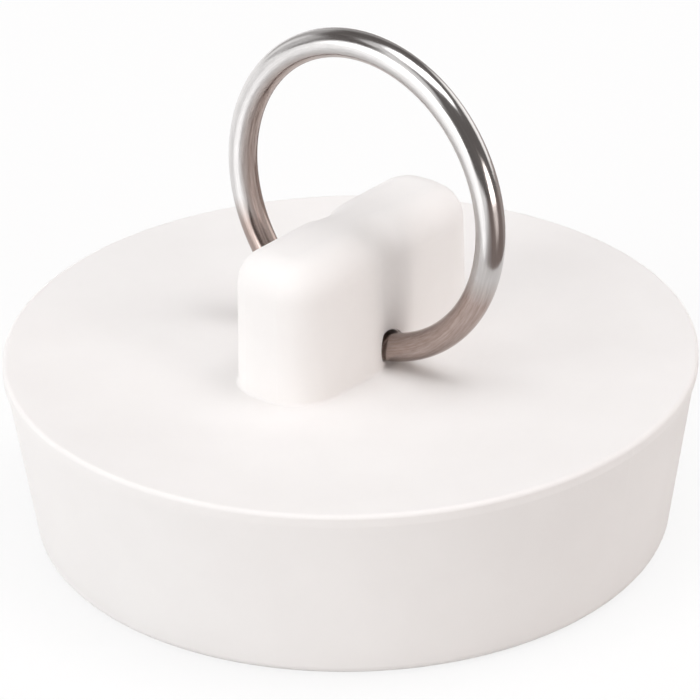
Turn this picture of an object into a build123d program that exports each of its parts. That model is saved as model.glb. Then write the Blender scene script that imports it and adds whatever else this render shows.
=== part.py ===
from build123d import *
import math
import os

# Drain stopper: a one-piece moulded rubber plug and a round-wire pull ring.
# Millimetres. Origin at the centre of the underside, +Z up, +X along the
# cross hole that the ring hangs in, +Y along the length of the lug.

# Plug
plug_d = 50.8
plug_h = 13.9
base_d = 46.9
band_h = 0.9
band_step = 0.14
rim_round = 0.3
base_round = 0.9
dish_depth = 0.8

# Hollow in the underside, inside a flat rim
foot_w = 4.45
recess_depth = 1.2
recess_round = 0.8

# Lug, its middle a little past the middle of the plug
lug_y = 0.45
lug_l = 21.0
lug_w = 7.74
lug_h = 10.77
lug_draft = 1.3
lug_end_r = 6.4
lug_corner_r = 3.1
lug_round = 2.6
lug_foot_r = 0.2
groove_r = 2.0
groove_depth = 0.55
groove_lip_r = 3.1

# Cross hole between the grooves, its far mouth more rounded for the wire's bend
hole_floor = 0.15
hole_play = 0.05
near_lip = 0.1
far_lip = 0.36
belly_half = 1.0

# Pull ring, standing a little back and to one side of the hole
ring_d = 25.07
wire_d = 2.11
ring_shift = 0.85
ring_sink = 0.35
ring_lean = 2.0
ring_joint = 0.15

# Derived sizes
plug_r = plug_d / 2
base_r = base_d / 2
wall_top_r = plug_r - band_step
wall_top_z = plug_h - band_h
recess_r = base_r - foot_w
dish_z = plug_h - dish_depth
lug_half_l = lug_l / 2
lug_half_w = lug_w / 2
waist_half = lug_half_w - groove_depth
groove_x = waist_half + groove_r
wire_r = wire_d / 2
ring_r = (ring_d - wire_d) / 2
inner_r = ring_r - wire_r
outer_r = ring_r + wire_r
joint_deg = math.degrees(ring_joint / ring_r)

# The bent wire needs least room at the near mouth and most height at the far mouth
bore_near = waist_half - near_lip
bore_far = waist_half - far_lip
rise_far = inner_r - math.sqrt(inner_r**2 - (bore_far + ring_shift) ** 2)
rise_near = outer_r - math.sqrt(outer_r**2 - (bore_near - ring_shift) ** 2)
rise_near_top = inner_r - math.sqrt(inner_r**2 - (bore_near - ring_shift) ** 2)
belly_r = wire_r + ring_sink + hole_play
hole_near_r = wire_r + hole_play + max(ring_sink - rise_near, rise_near_top - ring_sink)
hole_far_r = wire_r + rise_far - ring_sink + hole_play
hole_y = lug_y
hole_z = dish_z + hole_floor + hole_near_r
near_mouth_z = hole_z + hole_near_r + near_lip
far_mouth_z = hole_z + hole_far_r + far_lip
mouth_half = lug_half_w + lug_foot_r
sill_l = mouth_half - bore_far
sill_z = dish_z + hole_floor

# Rounding of the lug's top, limited by its narrow waist
waist_round_share = 0.95
waist_top_half = waist_half - lug_h * math.tan(math.radians(lug_draft))
top_round = min(lug_round, waist_top_half * waist_round_share)

# Largest upward share of an upright wall's facing direction
upright = 0.03

# Where a curved end of the lug meets a straight side, before rounding
end_reach = lug_half_l - lug_end_r + math.sqrt(lug_end_r**2 - lug_half_w**2)
near_end_y = lug_y - end_reach
far_end_y = lug_y + end_reach

# The ring's downward direction, turning axis and centre
lean = math.radians(ring_lean)
ring_down = (0, -math.sin(lean), -math.cos(lean))
ring_axis = (0, math.cos(lean), -math.sin(lean))
ring_rise = ring_r - ring_sink
ring_y = hole_y + ring_rise * math.sin(lean)
ring_z = hole_z + ring_rise * math.cos(lean)
ring_centre = (ring_shift, ring_y, ring_z)

os.makedirs("parts", exist_ok=True)

with BuildPart() as stopper:
    # Tapered plug with a raised band at the top and a shallow dish inside it
    with BuildSketch(Plane.XZ):
        with BuildLine():
            Polyline(
                (0, dish_z),
                (0, recess_depth),
                (recess_r, recess_depth),
                (recess_r, 0),
                (base_r, 0),
                (wall_top_r, wall_top_z),
                (plug_r, wall_top_z),
                (plug_r, plug_h),
                (0, dish_z),
            )
        make_face()
    revolve(axis=Axis.Z)
    fillet(stopper.edges().filter_by(GeomType.CIRCLE).group_by(Axis.Z)[-1], rim_round)
    base_rings = stopper.edges().filter_by(GeomType.CIRCLE).group_by(Axis.Z)[0]
    fillet(base_rings.sort_by(SortBy.RADIUS)[-1], base_round)
    recess_ring = stopper.edges().filter_by(GeomType.CIRCLE).filter_by_position(
        Axis.Z, recess_depth - recess_round / 2, recess_depth + recess_round / 2
    )
    fillet(recess_ring, recess_round)

with BuildPart() as lug:
    # Lug with curved ends, a soft upright groove in each side and a rounded top
    with BuildSketch(Plane.XY.offset(dish_z)) as lug_plan:
        with BuildLine():
            Line((-lug_half_w, far_end_y), (-lug_half_w, near_end_y))
            ThreePointArc((-lug_half_w, near_end_y), (0, lug_y - lug_half_l), (lug_half_w, near_end_y))
            Line((lug_half_w, near_end_y), (lug_half_w, far_end_y))
            ThreePointArc((lug_half_w, far_end_y), (0, lug_y + lug_half_l), (-lug_half_w, far_end_y))
        make_face()
        fillet(lug_plan.vertices(), lug_corner_r)
        with Locations((groove_x, hole_y), (-groove_x, hole_y)):
            Circle(groove_r, mode=Mode.SUBTRACT)
        groove_corners = lug_plan.vertices().filter_by(lambda v: abs(v.Y - hole_y) < groove_r)
        fillet(groove_corners, groove_lip_r)
    extrude(amount=lug_h)
    lug_walls = lug.faces().filter_by(lambda f: abs(f.normal_at().Z) < upright)
    draft(lug_walls, Plane.XY.offset(dish_z), lug_draft)
    fillet(lug.faces().sort_by(Axis.Z)[-1].edges(), top_round)

with BuildPart() as core_pin:
    # Shape of the cross hole: a slight belly, a flared mouth each side and level sills
    with BuildSketch(Plane.XZ.offset(-hole_y)):
        with BuildLine():
            Polyline(
                (-mouth_half, far_mouth_z),
                (-mouth_half, hole_z),
                (mouth_half, hole_z),
                (mouth_half, near_mouth_z),
                (waist_half, near_mouth_z),
            )
            RadiusArc((waist_half, near_mouth_z), (bore_near, hole_z + hole_near_r), near_lip)
            Polyline(
                (bore_near, hole_z + hole_near_r),
                (ring_shift + belly_half, hole_z + belly_r),
                (ring_shift - belly_half, hole_z + belly_r),
                (-bore_far, hole_z + hole_far_r),
            )
            RadiusArc((-bore_far, hole_z + hole_far_r), (-waist_half, far_mouth_z), far_lip)
            Line((-waist_half, far_mouth_z), (-mouth_half, far_mouth_z))
        make_face()
    revolve(axis=Axis((0, hole_y, hole_z), (1, 0, 0)))
    with Locations(
        (bore_near + sill_l / 2, hole_y, sill_z - belly_r / 2),
        (-bore_far - sill_l / 2, hole_y, sill_z - belly_r / 2),
    ):
        Box(sill_l, belly_r * 4, belly_r, mode=Mode.SUBTRACT)

with stopper:
    # The lug grows out of the dish with a small round, and the hole goes through it
    add(lug.part)
    foot_edges = stopper.edges().filter_by_position(Axis.Z, dish_z, dish_z + dish_depth / 2)
    foot_edges = foot_edges.filter_by(lambda e: e.length < lug_l)
    fillet(foot_edges, lug_foot_r)
    add(core_pin.part, mode=Mode.SUBTRACT)

with BuildPart() as ring:
    # Round wire bent through a full turn, its butt joint inside the cross hole
    with BuildSketch(Plane(origin=ring_centre, x_dir=ring_down, z_dir=(1, 0, 0))):
        with Locations((ring_r, 0)):
            Circle(wire_r)
    revolve(axis=Axis(ring_centre, ring_axis), revolution_arc=360 - joint_deg)

stopper.part.label = "stopper_body"
export_step(stopper.part, "parts/stopper_body.step")
ring.part.label = "pull_ring"
export_step(ring.part, "parts/pull_ring.step")
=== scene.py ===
import math

import bpy
from mathutils import Matrix, Vector


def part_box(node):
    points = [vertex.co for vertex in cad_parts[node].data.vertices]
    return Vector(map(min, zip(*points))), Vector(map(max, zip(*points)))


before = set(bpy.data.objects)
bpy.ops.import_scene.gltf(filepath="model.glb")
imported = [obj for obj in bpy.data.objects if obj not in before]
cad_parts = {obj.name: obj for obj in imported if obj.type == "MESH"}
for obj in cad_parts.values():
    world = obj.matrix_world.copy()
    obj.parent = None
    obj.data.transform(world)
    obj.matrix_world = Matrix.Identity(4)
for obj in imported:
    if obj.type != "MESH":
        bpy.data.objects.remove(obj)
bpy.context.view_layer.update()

MM = 0.001

# Camera fitted to the photograph, which is PHOTO_PX pixels wide
PHOTO_PX = 700.0
FOCAL_PX = 3784.24
SENSOR = 36.0
NEAR_CLIP = 10.0 * MM
CAMERA_PLACE = Vector((158.37, -187.74, 141.44)) * MM
CAMERA_RIGHT = Vector((0.7703, 0.6374, -0.0183))
CAMERA_AHEAD = Vector((-0.5717, 0.6776, -0.4627))

# Level directions as the camera has them, to its right and toward it, and up
VIEW_AZ = math.radians(40.1)
SIDE = Vector((math.cos(VIEW_AZ), math.sin(VIEW_AZ), 0.0))
NEAR = Vector((math.sin(VIEW_AZ), -math.cos(VIEW_AZ), 0.0))
UP = Vector((0.0, 0.0, 1.0))

# Soft light panels round the object: degrees from the camera's side round to its
# right, degrees up, half width in degrees, and light
PANELS = (
    (0.0, 90.0, 24.0, (2.75, 2.75, 2.80)),
    (90.0, 68.0, 18.0, (3.40, 3.38, 3.38)),
    (-90.0, 66.0, 20.0, (0.80, 0.80, 0.80)),
    (-60.0, 6.0, 32.0, (3.18, 3.18, 3.19)),
    (-45.0, 14.0, 20.0, (0.60, 0.60, 0.60)),
    (-50.0, 42.0, 22.0, (0.90, 0.90, 0.90)),
    (50.0, 5.0, 20.0, (4.95, 4.50, 4.30)),
    (130.0, 6.0, 30.0, (1.40, 1.37, 1.35)),
    (180.0, 6.0, 28.0, (0.30, 0.30, 0.30)),
    (-145.0, 8.0, 30.0, (0.40, 0.40, 0.40)),
    (-118.0, 8.0, 26.0, (0.60, 0.60, 0.60)),
)

# Share of a panel's half width at full light, and the light of the room round the panels
PANEL_CORE_SHARE = 0.6
ROOM = (0.18, 0.163, 0.157)

# Floor, and where the floor's painted reflection for the wire dims to brown and stops glowing, left to
# right
FLOOR_SIZE = 6.0
REFLECTION_DIMS = (-36.0 * MM, 24.0 * MM)
PAINTED_GLOW_ENDS = (-48.0 * MM, 0.0)

# Part of a noise pattern's range that carries its change of colour or roughness
NOISE_SPAN = (0.3, 0.7)

# Rubber: clouds and skin grain to the metre, depth of the grain, darkest and palest tint
RUBBER_CLOUDS = 140.0
RUBBER_GRAIN = 2600.0
GRAIN_DEPTH = 0.05 * MM
RUBBER_TINTS = ((0.880, 0.866, 0.856), (0.902, 0.890, 0.880))

# Wire: how far the ring leans back, streaks and hairlines round the wire, depth of the hairlines, darkest
# and palest tint of the bare steel and of its painted brown shade and reflection
RING_LEAN = math.radians(2.0)
WIRE_STREAKS = 9.0
WIRE_HAIRS = 34.0
HAIR_DEPTH = 0.012 * MM
STREAK_SLANT = (1.0, 0.0, 0.7)
STEEL_TINTS = ((0.50, 0.492, 0.488), (0.60, 0.592, 0.588))
PAINTED_SHADE_TINTS = ((0.33, 0.262, 0.235), (0.48, 0.40, 0.37))

# Where the painted brown shade and reflection starts and where it is full: how far the wire faces away from
# the ring's middle, and how high it lies above that middle
PAINTED_SHADE_INSIDE_SHARES = (-0.4, -0.9)
PAINTED_SHADE_LOW_SHARES = (-0.24, -0.42)


def new_material(name):
    mat = bpy.data.materials.new(name)
    mat.use_nodes = True
    tree = mat.node_tree
    tree.nodes.clear()
    out = tree.nodes.new("ShaderNodeOutputMaterial")
    return mat, tree, out.inputs["Surface"]


def feed(tree, socket, value):
    """Link a socket to another node's output, or set it to a plain value"""
    if isinstance(value, bpy.types.NodeSocket):
        tree.links.new(value, socket)
    else:
        socket.default_value = value


def grey(level):
    return (level, level, level, 1.0)


def object_place(tree):
    return tree.nodes.new("ShaderNodeTexCoord").outputs["Object"]


def camera_ray(tree):
    return tree.nodes.new("ShaderNodeLightPath").outputs["Is Camera Ray"]


def vector_math(tree, operation, a, b=None, c=None, scale=None):
    node = tree.nodes.new("ShaderNodeVectorMath")
    node.operation = operation
    feed(tree, node.inputs[0], a)
    if b is not None:
        feed(tree, node.inputs[1], b)
    if c is not None:
        feed(tree, node.inputs[2], c)
    if scale is not None:
        feed(tree, node.inputs["Scale"], scale)
    return node.outputs["Value" if operation == "DOT_PRODUCT" else "Vector"]


def fade(tree, value, start, end, first=0.0, last=1.0, smooth=False):
    """Number that goes from first to last while value goes from start to end"""
    node = tree.nodes.new("ShaderNodeMapRange")
    node.interpolation_type = "SMOOTHSTEP" if smooth else "LINEAR"
    node.inputs["From Min"].default_value = start
    node.inputs["From Max"].default_value = end
    node.inputs["To Min"].default_value = first
    node.inputs["To Max"].default_value = last
    tree.links.new(value, node.inputs["Value"])
    return node.outputs["Result"]


def mix_colours(tree, share, first, last):
    node = tree.nodes.new("ShaderNodeMix")
    node.data_type = "RGBA"
    tree.links.new(share, node.inputs["Factor"])
    feed(tree, node.inputs["A"], first)
    feed(tree, node.inputs["B"], last)
    return node.outputs["Result"]


def noise(tree, coords, scale, detail, rough):
    node = tree.nodes.new("ShaderNodeTexNoise")
    node.inputs["Scale"].default_value = scale
    node.inputs["Detail"].default_value = detail
    node.inputs["Roughness"].default_value = rough
    tree.links.new(coords, node.inputs["Vector"])
    return node.outputs["Fac"]


def tinted(tree, pattern, tints):
    """Colour that follows a noise pattern from the darkest tint to the palest"""
    dark, pale = tints
    return mix_colours(tree, fade(tree, pattern, *NOISE_SPAN), (*dark, 1.0), (*pale, 1.0))


def bump(tree, height, strength, depth, facing=None):
    node = tree.nodes.new("ShaderNodeBump")
    node.inputs["Strength"].default_value = strength
    node.inputs["Distance"].default_value = depth
    tree.links.new(height, node.inputs["Height"])
    if facing is not None:
        tree.links.new(facing, node.inputs["Normal"])
    return node.outputs["Normal"]


def shader(tree, kind, **values):
    node = tree.nodes.new("ShaderNode" + kind)
    for name, value in values.items():
        feed(tree, node.inputs[name], value)
    return node.outputs[0]


def mix_shaders(tree, share, first, last):
    node = tree.nodes.new("ShaderNodeMixShader")
    feed(tree, node.inputs["Fac"], share)
    tree.links.new(first, node.inputs[1])
    tree.links.new(last, node.inputs[2])
    return node.outputs["Shader"]


def add_shaders(tree, first, second):
    node = tree.nodes.new("ShaderNodeAddShader")
    tree.links.new(first, node.inputs[0])
    tree.links.new(second, node.inputs[1])
    return node.outputs["Shader"]


def rubber_material():
    """White moulded rubber: matt, faintly clouded, with a fine skin"""
    mat, tree, surface = new_material("white_rubber")
    coords = object_place(tree)
    clouds = noise(tree, coords, RUBBER_CLOUDS, detail=3.0, rough=0.55)
    grain = noise(tree, coords, RUBBER_GRAIN, detail=3.0, rough=0.6)
    bsdf = tree.nodes.new("ShaderNodeBsdfPrincipled")
    bsdf.inputs["Roughness"].default_value = 0.65
    bsdf.inputs["Specular IOR Level"].default_value = 0.25
    tree.links.new(tinted(tree, clouds, RUBBER_TINTS), bsdf.inputs["Base Color"])
    tree.links.new(bump(tree, grain, 0.12, GRAIN_DEPTH), bsdf.inputs["Normal"])
    tree.links.new(bsdf.outputs["BSDF"], surface)
    return mat


def ring_shape():
    """Centre of the ring, radius of the wire's middle line and turning axis, from the box round it"""
    low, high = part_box("pull_ring")
    half = (high - low) / 2
    # Half the box is radius + wire along X, and radius * sin(lean) + wire along Y
    radius = (half.x - half.y) / (1 - math.sin(RING_LEAN))
    axis = Vector((0.0, math.cos(RING_LEAN), -math.sin(RING_LEAN)))
    return (low + high) / 2, radius, axis


def steel_material():
    """Bright drawn wire, exactly round: streaks run along it, and painted brown shade and reflection darken
    it inside and low down
    """
    mat, tree, surface = new_material("drawn_steel")
    centre, radius, axis = ring_shape()
    place = vector_math(tree, "SUBTRACT", object_place(tree), centre)
    off_plane = vector_math(tree, "SCALE", axis, scale=vector_math(tree, "DOT_PRODUCT", place, axis))
    spoke = vector_math(tree, "NORMALIZE", vector_math(tree, "SUBTRACT", place, off_plane))
    middle = vector_math(tree, "SCALE", spoke, scale=radius)
    outward = vector_math(tree, "NORMALIZE", vector_math(tree, "SUBTRACT", place, middle))
    facing = tree.nodes.new("ShaderNodeVectorTransform")
    facing.vector_type = "NORMAL"
    facing.convert_from = "OBJECT"
    facing.convert_to = "WORLD"
    tree.links.new(outward, facing.inputs["Vector"])

    # Streaks change quickly round the wire and slowly along it
    section = vector_math(tree, "DOT_PRODUCT", outward, spoke)
    streak_at = tree.nodes.new("ShaderNodeCombineXYZ")
    tree.links.new(section, streak_at.inputs["X"])
    tree.links.new(vector_math(tree, "DOT_PRODUCT", outward, axis), streak_at.inputs["Y"])
    tree.links.new(vector_math(tree, "DOT_PRODUCT", spoke, STREAK_SLANT), streak_at.inputs["Z"])
    streaks = noise(tree, streak_at.outputs["Vector"], WIRE_STREAKS, detail=4.0, rough=0.6)
    hairs = noise(tree, streak_at.outputs["Vector"], WIRE_HAIRS, detail=2.0, rough=0.5)

    # Painted brown shade and reflection lie on the inner side of the wire and on the ring's lower part
    painted_shade = tree.nodes.new("ShaderNodeMath")
    painted_shade.operation = "MAXIMUM"
    height = vector_math(tree, "DOT_PRODUCT", spoke, UP)
    tree.links.new(fade(tree, section, *PAINTED_SHADE_INSIDE_SHARES), painted_shade.inputs[0])
    tree.links.new(fade(tree, height, *PAINTED_SHADE_LOW_SHARES), painted_shade.inputs[1])
    steel_tint, shaded_tint = tinted(tree, streaks, STEEL_TINTS), tinted(tree, streaks, PAINTED_SHADE_TINTS)

    bsdf = tree.nodes.new("ShaderNodeBsdfPrincipled")
    bsdf.inputs["Metallic"].default_value = 1.0
    # Steel tint darkened toward the painted brown shade and reflection by the mask above
    tree.links.new(mix_colours(tree, painted_shade.outputs["Value"], steel_tint, shaded_tint), bsdf.inputs["Base Color"])
    tree.links.new(fade(tree, hairs, *NOISE_SPAN, first=0.10, last=0.19), bsdf.inputs["Roughness"])
    fine = bump(tree, hairs, 0.25, HAIR_DEPTH, facing.outputs["Vector"])
    tree.links.new(fine, bsdf.inputs["Normal"])
    tree.links.new(bsdf.outputs["BSDF"], surface)
    return mat


def painted_floor_reflection(tree):
    """Painted reflection that the wire sees in the floor: bright and glowing to the camera's left, brown
    and dim to its right
    """
    across = vector_math(tree, "DOT_PRODUCT", object_place(tree), SIDE)
    # Painted reflection: the floor's colour and glow for glossy rays fade from bright on the left to brown
    # and dark on the right
    reflected_tint = mix_colours(tree, fade(tree, across, *REFLECTION_DIMS), grey(0.8), (0.28, 0.22, 0.20, 1.0))
    glow = mix_colours(tree, fade(tree, across, *PAINTED_GLOW_ENDS), grey(0.6), grey(0.0))
    painted_reflection = add_shaders(tree, shader(tree, "BsdfDiffuse", Color=reflected_tint), shader(tree, "Emission", Color=glow))
    polish = shader(tree, "BsdfGlossy", Color=grey(0.9), Roughness=0.2)
    return mix_shaders(tree, 0.2, painted_reflection, polish)


def floor_material():
    """Near white to the camera, pale grey to the light that reaches the object, and a painted reflection to
    the wire
    """
    mat, tree, surface = new_material("studio_floor")
    seen = mix_shaders(
        tree, 0.8, shader(tree, "BsdfDiffuse", Color=grey(0.9)), shader(tree, "Emission", Strength=1.0)
    )
    dull = add_shaders(
        tree, shader(tree, "BsdfDiffuse", Color=grey(0.6)), shader(tree, "Emission", Strength=0.09)
    )
    glossy_ray = tree.nodes.new("ShaderNodeLightPath").outputs["Is Glossy Ray"]
    bounced = mix_shaders(tree, glossy_ray, dull, painted_floor_reflection(tree))
    tree.links.new(mix_shaders(tree, camera_ray(tree), bounced, seen), surface)
    return mat


def studio_world():
    """Soft light panels in a dim room, and plain white to the camera"""
    world = bpy.data.worlds.new("studio")
    world.use_nodes = True
    tree = world.node_tree
    tree.nodes.clear()
    coords = tree.nodes.new("ShaderNodeTexCoord").outputs["Generated"]
    total = ROOM
    for turn, rise, half, light in PANELS:
        az, el, half = math.radians(turn), math.radians(rise), math.radians(half)
        aim = math.cos(el) * (math.cos(az) * NEAR + math.sin(az) * SIDE) + math.sin(el) * UP
        toward = vector_math(tree, "DOT_PRODUCT", coords, aim)
        lobe = fade(tree, toward, math.cos(half), math.cos(half * PANEL_CORE_SHARE), smooth=True)
        total = vector_math(tree, "MULTIPLY_ADD", lobe, light, total)
    lit = shader(tree, "Background", Color=total)
    plain = shader(tree, "Background", Color=grey(1.0))
    out = tree.nodes.new("ShaderNodeOutputWorld")
    tree.links.new(mix_shaders(tree, camera_ray(tree), lit, plain), out.inputs["Surface"])
    return world


def studio_floor():
    bpy.ops.mesh.primitive_plane_add(size=FLOOR_SIZE, location=(0, 0, 0))
    floor = bpy.context.object
    floor.name = "floor"
    return floor


def photo_camera():
    """Camera at the photograph's place and angle"""
    data = bpy.data.cameras.new("camera")
    data.sensor_width = SENSOR
    data.lens = FOCAL_PX * SENSOR / PHOTO_PX
    data.clip_start = NEAR_CLIP
    camera = bpy.data.objects.new("camera", data)
    bpy.context.collection.objects.link(camera)
    ahead = CAMERA_AHEAD.normalized()
    above = CAMERA_RIGHT.normalized().cross(ahead).normalized()
    right = ahead.cross(above).normalized()
    turn = Matrix((right, above, -ahead)).transposed()
    camera.matrix_world = Matrix.Translation(CAMERA_PLACE) @ turn.to_4x4()
    return camera


def dress(obj, mat):
    obj.data.materials.clear()
    obj.data.materials.append(mat)


dress(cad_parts["stopper_body"], rubber_material())
dress(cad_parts["pull_ring"], steel_material())

floor = studio_floor()
dress(floor, floor_material())
bpy.context.scene.world = studio_world()
bpy.context.scene.camera = photo_camera()
bpy.context.scene.view_settings.view_transform = "Standard"
